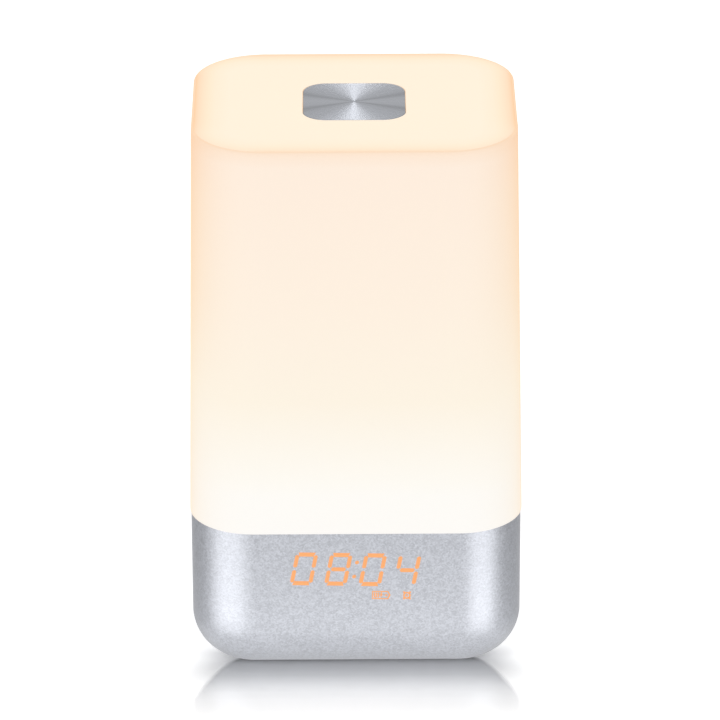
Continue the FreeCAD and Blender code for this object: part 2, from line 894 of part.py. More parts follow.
def speaker_retainer():
    z0 = cover_top + gasket_thickness + speaker_flange
    z1 = z0 + retainer_thickness
    ring = cylinder(retainer_outer_radius, 0, 0, z0, z1)
    for side in (-1, 1):
        ring = ring.fuse(cylinder(screw_boss_radius, side * retainer_screw_x, 0, z0, z1))
    ring = ring.cut(cylinder(retainer_inner_radius, 0, 0, z0, z1))
    for side in (-1, 1):
        ring = ring.cut(cylinder(pass_radius, side * retainer_screw_x, 0, z0, z1))
    return ring


def speaker_retainer_screws():
    z = cover_top + gasket_thickness + speaker_flange + retainer_thickness
    return [screw_down(side * retainer_screw_x, 0, z, retainer_screw_length) for side in (-1, 1)]


def battery_cell():
    half = cell_length / 2
    cell = cylinder_x(cell_radius, cell_y, cell_z, -half, half - 1.2)
    button = cylinder_x(3.0, cell_y, cell_z, half - 1.2, half)
    ends = [e for e in cell.Edges if e.Curve.TypeId == "Part::GeomCircle"]
    cell = cell.makeFillet(0.6, ends)
    return cell.fuse(button)


def cradle_screws_at():
    reach = cell_radius + cradle_gap + cradle_wall + cradle_boss_radius + 0.3
    return [(sx * cradle_screw_x, cell_y + sy * reach) for sx in (-1, 1) for sy in (-1, 1)]


def battery_cradle():
    half = cradle_length / 2
    inner = cell_radius + cradle_gap
    outer = inner + cradle_wall
    trough = cylinder_x(outer, cell_y, cell_z, -half, half)
    trough = trough.fuse(box(-half, half, cell_y - outer, cell_y + outer, cell_z, cradle_top))
    flange_z = cradle_top - cradle_flange_thickness
    for x, y in cradle_screws_at():
        pad = cylinder(cradle_boss_radius, x, y, flange_z, cradle_top)
        side = 1 if y > cell_y else -1
        web = box(
            x - cradle_boss_radius, x + cradle_boss_radius,
            min(y, cell_y + side * inner), max(y, cell_y + side * inner), flange_z, cradle_top,
        )
        trough = trough.fuse(pad).fuse(web)
    bore = cylinder_x(inner, cell_y, cell_z, -half - 1, half + 1)
    slot = box(-half - 1, half + 1, cell_y - inner, cell_y + inner, cell_z, cradle_top + 20)
    above = box(-half - 1, half + 1, cell_y - 40, cell_y + 40, cradle_top, cradle_top + 20)
    trough = trough.cut(bore).cut(slot).cut(above)
    for x, y in cradle_screws_at():
        trough = trough.cut(cylinder(pass_radius, x, y, flange_z - 1, cradle_top + 1))
    for x in (-cradle_length / 4, cradle_length / 4):
        trough = trough.cut(cylinder(5.0, x, cell_y, cell_z - outer - 1, cell_z))
    return trough.removeSplitter()


def battery_cradle_screws():
    head = cradle_top - cradle_flange_thickness
    return [screw_up(x, y, head, cradle_screw_length) for x, y in cradle_screws_at()]


def battery_pad():
    pad = box(
        -cell_pad_length / 2, cell_pad_length / 2, cell_y - cell_pad_width / 2, cell_y + cell_pad_width / 2,
        cell_z, tray_bottom,
    )
    return pad.cut(cylinder_x(cell_radius, cell_y, cell_z, -cell_pad_length, cell_pad_length))


def plug_places():
    return [
        (-outer_plug_x, outer_plug_z), (-inner_plug_x, inner_plug_z),
        (inner_plug_x, inner_plug_z), (outer_plug_x, outer_plug_z),
    ]


def lamp_leads():
    z = inner_plug_z
    found = []
    for side in (-0.5, 0.5):
        x = inner_plug_x + side * lead_pair_pitch
        found.append(lead([
            (x, lamp_lead_y, tray_top), (x, lamp_lead_y, z + lead_bend),
            (x, lamp_lead_y + lead_bend, z), (x, plug_front_y, z),
        ]))
    return found


def battery_leads():
    x, z = plug_places()[3]
    found = []
    for side in (-0.5, 0.5):
        rise = cell_z + side * lead_pair_pitch
        found.append(lead([
            (cell_length / 2, cell_y, rise), (cell_length / 2 + lead_bend, cell_y, rise),
            (cell_length / 2 + lead_bend, cell_y + 3 * lead_bend, rise),
            (x, plug_front_y - 1.5 * lead_bend, z - cell_z + rise), (x, plug_front_y, z - cell_z + rise),
        ]))
    return found


def speaker_leads():
    x, z = plug_places()[1]
    middle = magnet_radius / 2
    found = []
    for side in (-0.5, 0.5):
        shift = side * lead_pair_pitch
        found.append(lead([
            (shift - middle, middle, speaker_top), (shift - middle, middle, speaker_top + 0.6 * lead_bend),
            (shift - 1.2 * middle, 1.8 * middle, z), (x + shift, plug_front_y - 0.8 * lead_bend, z),
            (x + shift, plug_front_y, z),
        ]))
    return found


def display_ribbon():
    """Flat lead standing on edge, round the end of the battery to the main board."""
    x, z = plug_places()[0]
    start_x = -display_plug_x
    start_y = display_board_y + display_plug_depth
    end_x = -cell_length / 2
    points = [
        (start_x, start_y), (start_x, start_y + 0.6 * lead_bend),
        (end_x + 0.5 * lead_bend, cell_y - 2.1 * lead_bend),
        (end_x - lead_bend, cell_y - lead_bend),
        (end_x - 1.2 * lead_bend, cell_y + 3 * lead_bend),
        (x, plug_front_y - 1.3 * lead_bend), (x, plug_front_y),
    ]
    route = [Vector(px, py, z) for px, py in points]
    path = bent_path(route)
    along = route[1] - route[0]
    along.normalize()
    across = Vector(-along.y, along.x, 0)
    half_high = Vector(0, 0, (plug_height - ribbon_thickness) / 2)
    half_thick = across * (ribbon_thickness / 2)
    corners = [route[0] + half_thick + half_high, route[0] - half_thick + half_high,
               route[0] - half_thick - half_high, route[0] + half_thick - half_high]
    section = Part.makePolygon(corners + corners[:1])
    return path.makePipeShell([section], True, False)


def display_plug():
    """Lead socket on the display board's rear face."""
    return box(
        -display_plug_x - plug_width / 2, -display_plug_x + plug_width / 2,
        display_board_y, display_board_y + display_plug_depth,
        outer_plug_z - plug_height / 2, outer_plug_z + plug_height / 2,
    )


def touch_lead():
    """Wire from the touch plate's stud, back under the top and down the rear wall."""
    top = body_height - plate_thickness - plate_stud_length
    run = top - 2 * lead_bend
    return lead([
        (0, 0, top), (0, 0, top - lead_bend), (0, 2 * lead_bend, run), (0, touch_lead_y - 2 * lead_bend, run),
        (0, touch_lead_y, run - 2 * lead_bend), (0, touch_lead_y, board_top),
    ])


def touch_lead_terminal():
    half = terminal_width / 2
    rear_y = touch_lead_y + 2 * lead_radius
    return box(-half, half, board_rear_y, rear_y, board_top - terminal_height, board_top)


def touch_lead_clips():
    """Small clips that hold the wire to the shade's rear wall."""
    found = []
    cavity = shade_cavity()
    half = clip_width / 2
    step = (body_height - seam_height) / 4
    for i in range(3):
        z0 = seam_height + (i + 0.6) * step
        z1 = z0 + clip_height
        block = box(-half, half, touch_lead_y - lead_radius - 1, body_depth / 2, z0, z1)
        block = block.common(cavity)
        found.append(block.cut(cylinder(lead_radius + screw_clearance, 0, touch_lead_y, z0 - 1, z1 + 1)))
    return found


def export(name, shapes):
    solids = []
    for shape in shapes if isinstance(shapes, list) else [shapes]:
        solids += shape.Solids
    whole = solids[0] if len(solids) == 1 else Part.makeCompound(solids)
    whole.exportStep(f"parts/{name}.step")
    ok = all(s.isValid() and s.isClosed() and s.Volume > 0 for s in solids)
    volume = sum(s.Volume for s in solids)
    print(f"{name:26s} solids {len(solids):3d}  volume {volume:10.1f}  {'ok' if ok else 'BAD'}")


def main():
    os.makedirs("parts", exist_ok=True)
    export("light_shade", light_shade())
    export("touch_plate", touch_plate())
    export("touch_plate_adhesive", touch_plate_adhesive())
    export("touch_lead", touch_lead())
    export("touch_lead_clips", touch_lead_clips())
    export("touch_lead_terminal", touch_lead_terminal())
    export("base_shell", base_shell())
    export("bottom_cover", bottom_cover())
    export("bottom_cover_screws", bottom_cover_screws())
    export("rubber_feet", rubber_feet())
    export("light_tray", light_tray())
    export("light_tray_screws", light_tray_screws())
    export("lamp_board", lamp_board())
    export("lamp_board_screws", lamp_board_screws())
    export("lamps", lamps())
    export("lamp_leads", lamp_leads())
    export("display_case", display_case())
    export("display_lights", display_lights())
    export("display_diffuser_film", display_diffuser_film())
    export("display_board", display_board())
    export("display_board_screws", display_board_screws())
    export("display_plug", display_plug())
    export("display_ribbon", display_ribbon())
    export("main_board", main_board())
    export("main_board_chips", main_board_chips())
    export("main_board_plugs", board_plugs())
    export("key_switches", key_switches())
    names = ["time", "alarm", "sound", "minus", "plus"]
    for i, x in enumerate(key_positions()):
        name = names[i] if i < len(names) else f"extra_{i}"
        export(f"key_{name}", key_cap(x))
        export(f"switch_plunger_{name}", switch_plunger(x))
    export("charging_socket", charging_socket())
    export("charging_socket_tongue", charging_socket_tongue())
    export("speaker_gasket", speaker_gasket())
    export("speaker_basket", speaker_basket())
    export("speaker_cone", speaker_cone())
    export("speaker_magnet", speaker_magnet())
    export("speaker_retainer", speaker_retainer())
    export("speaker_retainer_screws", speaker_retainer_screws())
    export("speaker_leads", speaker_leads())
    export("battery_cell", battery_cell())
    export("battery_cradle", battery_cradle())
    export("battery_cradle_screws", battery_cradle_screws())
    export("battery_pad", battery_pad())
    export("battery_leads", battery_leads())


main()
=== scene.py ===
import json
import math

import bmesh
import bpy
from mathutils import Matrix, Vector


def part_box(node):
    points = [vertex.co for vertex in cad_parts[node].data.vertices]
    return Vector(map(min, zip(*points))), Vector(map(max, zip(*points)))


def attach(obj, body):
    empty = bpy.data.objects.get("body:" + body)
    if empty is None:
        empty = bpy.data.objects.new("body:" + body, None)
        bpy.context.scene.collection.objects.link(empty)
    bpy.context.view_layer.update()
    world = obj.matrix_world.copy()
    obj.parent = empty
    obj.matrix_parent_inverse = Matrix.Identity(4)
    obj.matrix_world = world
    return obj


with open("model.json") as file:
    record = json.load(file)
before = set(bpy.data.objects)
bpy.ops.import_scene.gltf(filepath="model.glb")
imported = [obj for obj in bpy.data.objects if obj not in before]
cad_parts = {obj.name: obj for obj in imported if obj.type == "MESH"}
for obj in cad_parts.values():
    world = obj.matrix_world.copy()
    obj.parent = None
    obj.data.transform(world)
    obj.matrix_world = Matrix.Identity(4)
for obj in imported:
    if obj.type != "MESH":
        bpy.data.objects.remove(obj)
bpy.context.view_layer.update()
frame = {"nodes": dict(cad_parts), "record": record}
nodes = frame["nodes"]

# Sunrise alarm clock. Metres, +Z up, the front faces -Y.
MM = 0.001
HOUSING = "housing"

# Sizes read from the frame
_, shade_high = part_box("light_shade")
base_low, base_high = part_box("base_shell")
screw_low, screw_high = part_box("bottom_cover_screws")
SEAM_Z = base_high.z
TOP_Z = shade_high.z
HALF_WIDTH = shade_high.x
HALF_DEPTH = shade_high.y
FRONT_Y = base_low.y
top_face = [v.co for v in nodes["light_shade"].data.vertices if v.co.z > TOP_Z - 0.05 * MM]
TOP_HALF_WIDTH = max(point.x for point in top_face)
TOP_HALF_DEPTH = max(point.y for point in top_face)

# The body's radii: its upright corners, and its bottom edge
CORNER = 19.5 * MM
BOTTOM_EDGE = 14.5 * MM

# What the display shows
DIGITS = "0804"
DIGIT_WIDTH = 6.75 * MM
DIGIT_HEIGHT = 10.9 * MM
DIGIT_PITCH = 10.3 * MM
DIGIT_X = -0.26 * MM
DIGIT_Z = 36.54 * MM
DIGIT_SLANT = 0.17
DIGIT_TURN = -0.02
BAR_THICKNESS = 1.36 * MM
BAR_OUTER_LENGTH = 5.1 * MM
BAR_INNER_LENGTH = 4.3 * MM
MIDDLE_BAR_LENGTH = 4.55 * MM
MIDDLE_BAR_THICKNESS = 1.28 * MM
UPRIGHT_LENGTH = 4.3 * MM
UPRIGHT_THICKNESS = 1.22 * MM
UPRIGHT_RISE = 2.51 * MM
SKIN_PROUD = 0.03 * MM
SKIN_SUNK = 0.03 * MM
COLON_RADIUS = 0.6 * MM
COLON_RISE = 2.35 * MM
CIRCLE_STEPS = 24
MARK_DROP = 8.4 * MM
BATTERY_X = 7.85 * MM
ALARM_X = 15.55 * MM

# The photograph's camera
CAMERA_DISTANCE = 1.601
CAMERA_PITCH = math.radians(24.03)
CAMERA_YAW = math.radians(-0.2)
CAMERA_ROLL = math.radians(-0.224)
CAMERA_LENS = 264.0
CAMERA_SENSOR = 36.0
CAMERA_REACH = 20.0
AIM = Vector((0, 0, 0.080))
AIM_PIXEL = (355.2, 378.8)
PICTURE = 720


def linear(r, g, b):
    """Linear colour for an 8-bit sRGB one."""
    def channel(value):
        v = value / 255
        return v / 12.92 if v <= 0.04045 else ((v + 0.055) / 1.055) ** 2.4
    return (channel(r), channel(g), channel(b), 1.0)


def link_new(name, mesh):
    piece = bpy.data.objects.new(name, mesh)
    bpy.context.scene.collection.objects.link(piece)
    return piece


class Tree:
    """A node tree, with short calls that add nodes to it."""

    def __init__(self, tree):
        self.tree = tree

    def add(self, kind):
        return self.tree.nodes.new(kind)

    def join(self, source, target):
        self.tree.links.new(source, target)

    def give(self, value, socket):
        """Sets a number or a colour on a socket, or joins another node's output to it."""
        if isinstance(value, (int, float, tuple)):
            socket.default_value = value
        else:
            self.join(value, socket)

    def math(self, operation, *values, clamp=False):
        node = self.add("ShaderNodeMath")
        node.operation = operation
        node.use_clamp = clamp
        for value, socket in zip(values, node.inputs):
            self.give(value, socket)
        return node.outputs[0]

    def length(self, across, along):
        """Length of a flat vector with these two parts."""
        squares = [self.math("MULTIPLY", part, part) for part in (across, along)]
        return self.math("SQRT", self.math("ADD", *squares))

    def between(self, value, low, high, first=0.0, last=1.0, smooth=True):
        """Goes from first at low to last at high, and stays level beyond them."""
        node = self.add("ShaderNodeMapRange")
        node.interpolation_type = "SMOOTHSTEP" if smooth else "LINEAR"
        given = {"Value": value, "From Min": low, "From Max": high, "To Min": first, "To Max": last}
        for name, number in given.items():
            self.give(number, node.inputs[name])
        return node.outputs["Result"]

    def ramp(self, value, stops):
        """Colour by place along a value. A number in place of a colour is a grey."""
        node = self.add("ShaderNodeValToRGB")
        elements = node.color_ramp.elements
        elements.remove(elements[-1])
        for i, (place, colour) in enumerate(stops):
            element = elements.new(place) if i else elements[0]
            element.position = place
            element.color = colour if isinstance(colour, tuple) else (colour, colour, colour, 1)
        self.join(value, node.inputs["Fac"])
        return node.outputs["Color"]

    def noise(self, vector, scale, detail):
        node = self.add("ShaderNodeTexNoise")
        node.inputs["Detail"].default_value = detail
        self.join(vector, node.inputs["Vector"])
        self.give(scale, node.inputs["Scale"])
        return node.outputs["Fac"]

    def mix(self, factor, first, second):
        """Colour between two, each given as a colour or as a node's output."""
        node = self.add("ShaderNodeMix")
        node.data_type = "RGBA"
        self.join(factor, node.inputs["Factor"])
        colours = [socket for socket in node.inputs if socket.type == "RGBA"]
        self.give(first, colours[0])
        self.give(second, colours[1])
        return [socket for socket in node.outputs if socket.type == "RGBA"][0]

    def split(self, vector):
        node = self.add("ShaderNodeSeparateXYZ")
        self.join(vector, node.inputs[0])
        return node.outputs

    def scaled(self, colour, tone):
        """Colour made lighter or darker by this factor."""
        node = self.add("ShaderNodeVectorMath")
        node.operation = "SCALE"
        self.join(colour, node.inputs[0])
        self.join(tone, node.inputs["Scale"])
        return node.outputs[0]


class Shader(Tree):
    """A material with its Principled shader."""

    def __init__(self, name):
        self.material = bpy.data.materials.new(name)
        self.material.use_nodes = True
        super().__init__(self.material.node_tree)
        self.surface = self.tree.nodes["Principled BSDF"]
        self.place = self.add("ShaderNodeTexCoord").outputs["Object"]

    def set(self, **values):
        for name, value in values.items():
            self.surface.inputs[name.replace("_", " ")].default_value = value

    def group(self, name, **values):
        """Adds a node group with these inputs, and returns its outputs."""
        node = self.add("ShaderNodeGroup")
        node.node_tree = bpy.data.node_groups[name]
        for key, value in values.items():
            node.inputs[key].default_value = value
        self.join(self.place, node.inputs["Place"])
        return node.outputs

    def feed(self, source, name):
        self.join(source, self.surface.inputs[name])

    def bump(self, height, strength, distance):
        node = self.add("ShaderNodeBump")
        node.inputs["Strength"].default_value = strength
        node.inputs["Distance"].default_value = distance
        self.join(height, node.inputs["Height"])
        self.feed(node.outputs["Normal"], "Normal")
        return node


COLOUR = "NodeSocketColor"
VALUE = "NodeSocketFloat"
VECTOR = "NodeSocketVector"


class Group(Tree):
    """A shader node group. Beside the inputs given here it always has Place."""

    def __init__(self, name, inputs, outputs):
        super().__init__(bpy.data.node_groups.new(name, "ShaderNodeTree"))
        sockets = self.tree.interface
        sockets.new_socket("Place", in_out="INPUT", socket_type=VECTOR)
        for key, value in inputs.items():
            kind = COLOUR if isinstance(value, tuple) else VALUE
            sockets.new_socket(key, in_out="INPUT", socket_type=kind).default_value = value
        for key, kind in outputs.items():
            sockets.new_socket(key, in_out="OUTPUT", socket_type=kind)
        self.given = self.add("NodeGroupInput").outputs
        self.end = self.add("NodeGroupOutput").inputs

    def put_out(self, **values):
        for key, value in values.items():
            self.join(value, self.end[key])


def moulded_grain_group():
    """Fine grain of a moulded or painted surface: a tone, a roughness change and a height."""
    group = Group(
        "moulded grain",
        {"Colour": (0.8, 0.8, 0.8, 1.0), "Grain": 2500.0, "Blotch": 60.0, "Change": 0.04, "Roughness": 0.5},
        {"Colour": COLOUR, "Roughness": VALUE, "Height": VALUE},
    )
    fine_share = 0.6
    tone_gain = 4.0
    roughness_swing = 0.25
    place = group.given["Place"]
    fine = group.noise(place, group.given["Grain"], detail=3.0)
    broad = group.noise(place, group.given["Blotch"], detail=2.0)
    both = group.math(
        "ADD", group.math("MULTIPLY", fine, fine_share), group.math("MULTIPLY", broad, 1 - fine_share))
    centred = group.math("SUBTRACT", both, 0.5)
    swing = group.math("MULTIPLY", centred, group.given["Change"])
    tone = group.math("MULTIPLY_ADD", swing, tone_gain, 1.0)
    rough = group.math("MULTIPLY_ADD", centred, roughness_swing, group.given["Roughness"], clamp=True)
    group.put_out(Colour=group.scaled(group.given["Colour"], tone), Roughness=rough, Height=fine)


def metal_flake_group():
    """Flakes in metallic paint: each cell is a little lighter or darker, over slow clouds."""
    group = Group(
        "metal flake",
        {"Colour": (0.6, 0.6, 0.6, 1.0), "Flake": 3200.0, "Change": 0.1, "Roughness": 0.35},
        {"Colour": COLOUR, "Roughness": VALUE, "Height": VALUE},
    )
    cloud_scale = 700.0
    cloud_share = 0.8
    roughness_swing = 0.12
    place = group.given["Place"]
    cells = group.add("ShaderNodeTexVoronoi")
    group.join(place, cells.inputs["Vector"])
    group.join(group.given["Flake"], cells.inputs["Scale"])
    parts = group.add("ShaderNodeSeparateColor")
    group.join(cells.outputs["Color"], parts.inputs[0])
    for_tone, for_height = parts.outputs[0], parts.outputs[1]
    flake = group.math("SUBTRACT", for_tone, 0.5)
    cloud = group.math("SUBTRACT", group.noise(place, cloud_scale, detail=4.0), 0.5)
    both = group.math("ADD", flake, group.math("MULTIPLY", cloud, cloud_share))
    tone = group.math("MULTIPLY_ADD", both, group.given["Change"], 1.0)
    rough = group.math("MULTIPLY_ADD", flake, roughness_swing, group.given["Roughness"], clamp=True)
    group.put_out(Colour=group.scaled(group.given["Colour"], tone), Roughness=rough, Height=for_height)


# How far the base's normal leans down, by height as a share of LEAN_REACH
LEAN_REACH = 24 * MM
LEAN = ((0.0, 0.0), (0.25, 0.10), (0.5, 0.17), (0.64, 0.16), (0.78, 0.07), (0.92, 0.0))


def soft_start_group():
    """Normal that leans down a little above the rounded bottom, so the rounding starts softly."""
    group = Group("soft start", {}, {"Normal": VECTOR})
    height = group.split(group.given["Place"])[2]
    lean = group.ramp(group.math("DIVIDE", height, LEAN_REACH), LEAN)
    down = group.add("ShaderNodeCombineXYZ")
    group.join(group.math("MULTIPLY", lean, -1.0), down.inputs["Z"])
    surface = group.add("ShaderNodeNewGeometry")
    leant = group.add("ShaderNodeVectorMath")
    group.join(surface.outputs["Normal"], leant.inputs[0])
    group.join(down.outputs[0], leant.inputs[1])
    unit = group.add("ShaderNodeVectorMath")
    unit.operation = "NORMALIZE"
    group.join(leant.outputs[0], unit.inputs[0])
    group.put_out(Normal=unit.outputs[0])


# The shade's clear outer layer takes out blue and green, more where it is seen edge on
LAYER_TINT = (0.995, 0.935, 0.865)
WALL_PATH = 1.085
TOP_PATH = 2.03

# 8-bit sRGB colours of the lit shade as they show. The walls' go by height, from the seam to the top.
FACE_COLOURS = (
    (0.0, (255, 255, 253)), (0.10, (255, 255, 252)), (0.14, (255, 254, 248)), (0.35, (254, 246, 230)),
    (0.61, (255, 242, 226)), (0.87, (255, 239, 223)), (1.0, (255, 238, 222)),
)
# Painted shade: the walls' glow darker and more orange towards the upright corners
EDGE_SHADE_COLOURS = (
    (0.0, (255, 255, 253)), (0.14, (255, 255, 252)), (0.35, (255, 254, 246)), (0.61, (255, 239, 219)),
    (0.87, (255, 230, 204)), (1.0, (255, 219, 190)),
)
# Painted shade: the walls' glow darker just under the top edge
UNDER_TOP_EDGE_SHADE = (252, 220, 188)
TOP_COLOUR = (255, 241, 221)
# By distance in from the flat top's outline, as a share of TOP_RIM_WIDTH. The rim colours are painted
# shade: the top's glow darker and more orange near its outline.
TOP_RIM_WIDTH = 10 * MM
TOP_RIM_SHADE_COLOURS = (
    (0.0, (249, 203, 158)), (0.05, (252, 214, 176)), (0.13, (254, 222, 191)), (0.25, (254, 229, 200)),
    (0.4, (254, 235, 208)), (0.6, (255, 239, 216)), (1.0, (255, 242, 222)),
)
# How far under the top the flat top's colours start, and from where they are full
FLAT_FROM = 0.12 * MM
FLAT_FULL = 0.03 * MM
# How much of the wall's own colour shows over a painted shade line just under the top edge, by distance
# down from the top edge as a share of DARK_LINE
DARK_LINE = 5 * MM
BELOW_TOP_EDGE = ((0.0, 0.0), (0.1, 0.45), (0.3, 0.72), (1.0, 1.0))


def under_layer(colour, path):
    """Glow that shows as this 8-bit sRGB colour after this path through the clear layer."""
    wanted = linear(*colour)
    least = min(tint ** TOP_PATH for tint in LAYER_TINT)
    return (*[channel * least / tint ** path for channel, tint in zip(wanted, LAYER_TINT)], 1.0)


def stops_under_layer(colours, path):
    return [(place, under_layer(colour, path)) for place, colour in colours]


def warm_glow_group():
    """Light through the shade: whiter near the lamps, warmer higher up, orange along the top's edge. The
    darker, more orange glow at the upright corners, under the top edge and round the top's outline is
    painted shade.
    """
    group = Group("warm glow", {}, {"Colour": COLOUR})
    x, y, z = group.split(group.given["Place"])
    wide = group.math("ABSOLUTE", x)
    deep = group.math("ABSOLUTE", y)

    height = group.between(z, SEAM_Z, TOP_Z, smooth=False)
    face = group.ramp(height, stops_under_layer(FACE_COLOURS, WALL_PATH))
    # Painted shade: the glow darker and more orange towards the upright corners
    edge = group.ramp(height, stops_under_layer(EDGE_SHADE_COLOURS, WALL_PATH))
    edge_sharpness = 2.6
    edge_in_front = 0.4
    outward = group.math(
        "POWER", group.between(wide, HALF_WIDTH - CORNER, HALF_WIDTH, smooth=False), edge_sharpness)
    along = group.math(
        "MULTIPLY_ADD", group.between(deep, 0.0, HALF_DEPTH - CORNER), 1 - edge_in_front, edge_in_front)
    side = group.mix(group.math("MULTIPLY", outward, along, clamp=True), face, edge)
    # Painted shade: a darker line on the walls just under the top edge
    below = group.math("DIVIDE", group.math("SUBTRACT", TOP_Z, z), DARK_LINE)
    rise = group.ramp(below, BELOW_TOP_EDGE)
    wall = group.mix(rise, under_layer(UNDER_TOP_EDGE_SHADE, WALL_PATH), side)

    # Distance in from the outline of the flat top, which has round corners
    radius = CORNER - (HALF_WIDTH - TOP_HALF_WIDTH)
    past_x = group.math("SUBTRACT", wide, TOP_HALF_WIDTH - radius)
    past_y = group.math("SUBTRACT", deep, TOP_HALF_DEPTH - radius)
    round_part = group.length(group.math("MAXIMUM", past_x, 0.0), group.math("MAXIMUM", past_y, 0.0))
    straight = group.math("MINIMUM", group.math("MAXIMUM", past_x, past_y), 0.0)
    inward = group.math("SUBTRACT", radius, group.math("ADD", round_part, straight))
    # Painted shade: the top's glow darker and more orange near its outline
    top_rim_shade = group.ramp(
        group.math("DIVIDE", inward, TOP_RIM_WIDTH), stops_under_layer(TOP_RIM_SHADE_COLOURS, TOP_PATH))
    # The painted shade of the rim is weaker at the front
    rim_in_front = 0.55
    rear = group.math("MULTIPLY_ADD", group.between(y, -TOP_HALF_DEPTH, -0.3 * TOP_HALF_DEPTH),
                      1 - rim_in_front, rim_in_front)
    top = group.mix(rear, under_layer(TOP_COLOUR, TOP_PATH), top_rim_shade)
    flat = group.between(z, TOP_Z - FLAT_FROM, TOP_Z - FLAT_FULL)
    group.put_out(Colour=group.mix(flat, wall, top))


# Tone of the plate, by angle up from the X axis as a share of a right angle. The dip is a painted
# reflection: dark bands in an X across the brushed plate.
PAINTED_REFLECTION_TONES = ((0.0, 1.0), (0.14, 0.95), (0.24, 0.7), (0.36, 0.93), (1.0, 1.0))


def sunray_group():
    """Fine straight scratches that run out from the middle of the plate, with painted dark reflection bands
    in an X across it.
    """
    group = Group(
        "sunray lines",
        {"Colour": (0.6, 0.6, 0.6, 1.0), "Lines": 90.0, "Change": 0.2, "Roughness": 0.25},
        {"Colour": COLOUR, "Roughness": VALUE},
    )
    change_outwards = 0.3  # how soon the lines change along their length
    roughness_swing = 0.15
    x, y, _ = group.split(group.given["Place"])
    angle = group.math("ARCTAN2", y, x)
    around = group.add("ShaderNodeCombineXYZ")
    group.join(group.math("COSINE", angle), around.inputs["X"])
    group.join(group.math("SINE", angle), around.inputs["Y"])
    group.join(group.math("MULTIPLY", group.length(x, y), change_outwards), around.inputs["Z"])
    lines = group.noise(around.outputs[0], group.given["Lines"], detail=4.0)
    centred = group.math("SUBTRACT", lines, 0.5)
    # Painted reflection: dark bands by angle round the plate
    steep = group.math("ARCTAN2", group.math("ABSOLUTE", y), group.math("ABSOLUTE", x))
    painted_reflection = group.ramp(group.math("DIVIDE", steep, math.pi / 2), PAINTED_REFLECTION_TONES)
    tone = group.math("MULTIPLY", group.math("MULTIPLY_ADD", centred, group.given["Change"], 1.0), painted_reflection)
    rough = group.math("MULTIPLY_ADD", centred, roughness_swing, group.given["Roughness"], clamp=True)
    group.put_out(Colour=group.scaled(group.given["Colour"], tone), Roughness=rough)


moulded_grain_group()
metal_flake_group()
soft_start_group()
warm_glow_group()
sunray_group()


GRAIN_DEPTH = 0.05 * MM
SATIN_DEPTH = 0.04 * MM
FLAKE_DEPTH = 0.03 * MM


def grained(name, colour, roughness, grain=2500.0, change=0.04, bump=0.1, metallic=0.0, emission=0.0):
    """Moulded plastic, rubber, board or bare metal: a colour with its own grain and small dents."""
    shader = Shader(name)
    grains = shader.group(
        "moulded grain", Colour=(*colour, 1.0), Grain=grain, Change=change, Roughness=roughness)
    shader.feed(grains["Colour"], "Base Color")
    shader.feed(grains["Roughness"], "Roughness")
    shader.bump(grains["Height"], bump, GRAIN_DEPTH)
    shader.set(Metallic=metallic)
    if emission:
        shader.set(Emission_Color=(*colour, 1.0), Emission_Strength=emission)
    return shader.material


def milky_shade():
    """Milky plastic lit from inside: most of its light is its own, and it has a soft satin gloss."""
    shader = Shader("milky shade")
    grains = shader.group(
        "moulded grain", Colour=(0.22, 0.20, 0.18, 1.0), Grain=900.0, Change=0.02, Roughness=0.42)
    shader.feed(shader.group("warm glow")["Colour"], "Emission Color")
    shader.feed(grains["Colour"], "Base Color")
    shader.feed(grains["Roughness"], "Roughness")
    shader.bump(grains["Height"], 0.05, SATIN_DEPTH)
    shader.set(Emission_Strength=1.125, Specular_IOR_Level=0.08)
    shader.set(Coat_Weight=1.0, Coat_IOR=1.05, Coat_Roughness=0.45, Coat_Tint=(*LAYER_TINT, 1.0))
    return shader.material


def silver_paint():
    """Silver paint with fine metal flakes under a thin satin lacquer."""
    shader = Shader("silver paint")
    flakes = shader.group(
        "metal flake", Colour=(0.548, 0.564, 0.609, 1.0), Flake=2400.0, Change=0.25, Roughness=0.36)
    shader.feed(flakes["Colour"], "Base Color")
    shader.feed(flakes["Roughness"], "Roughness")
    dents = shader.bump(flakes["Height"], 0.12, FLAKE_DEPTH)
    shader.join(shader.group("soft start")["Normal"], dents.inputs["Normal"])
    shader.set(Metallic=0.9, Coat_Weight=0.05, Coat_Roughness=0.25)
    return shader.material


def sunray_metal():
    """Aluminium brushed outwards from its middle."""
    shader = Shader("sunray metal")
    lines = shader.group(
        "sunray lines", Colour=(0.306, 0.318, 0.347, 1.0), Lines=60.0, Change=0.22, Roughness=0.27)
    shader.feed(lines["Colour"], "Base Color")
    shader.feed(lines["Roughness"], "Roughness")
    outward = shader.add("ShaderNodeVectorMath")
    outward.operation = "MULTIPLY"
    outward.inputs[1].default_value = (1, 1, 0)
    shader.join(shader.place, outward.inputs[0])
    shader.feed(outward.outputs[0], "Tangent")
    shader.set(Metallic=1.0, Anisotropic=0.92)
    return shader.material


def lit_amber():
    """Orange light of the display, as it comes through the skin of the base."""
    shader = Shader("lit amber")
    grains = shader.group(
        "moulded grain", Colour=linear(246, 169, 108), Grain=1500.0, Blotch=500.0, Change=0.05,
        Roughness=0.5)
    shader.feed(grains["Colour"], "Emission Color")
    shader.set(Base_Color=(0.12, 0.05, 0.02, 1.0), Emission_Strength=0.95, Roughness=0.5)
    return shader.material


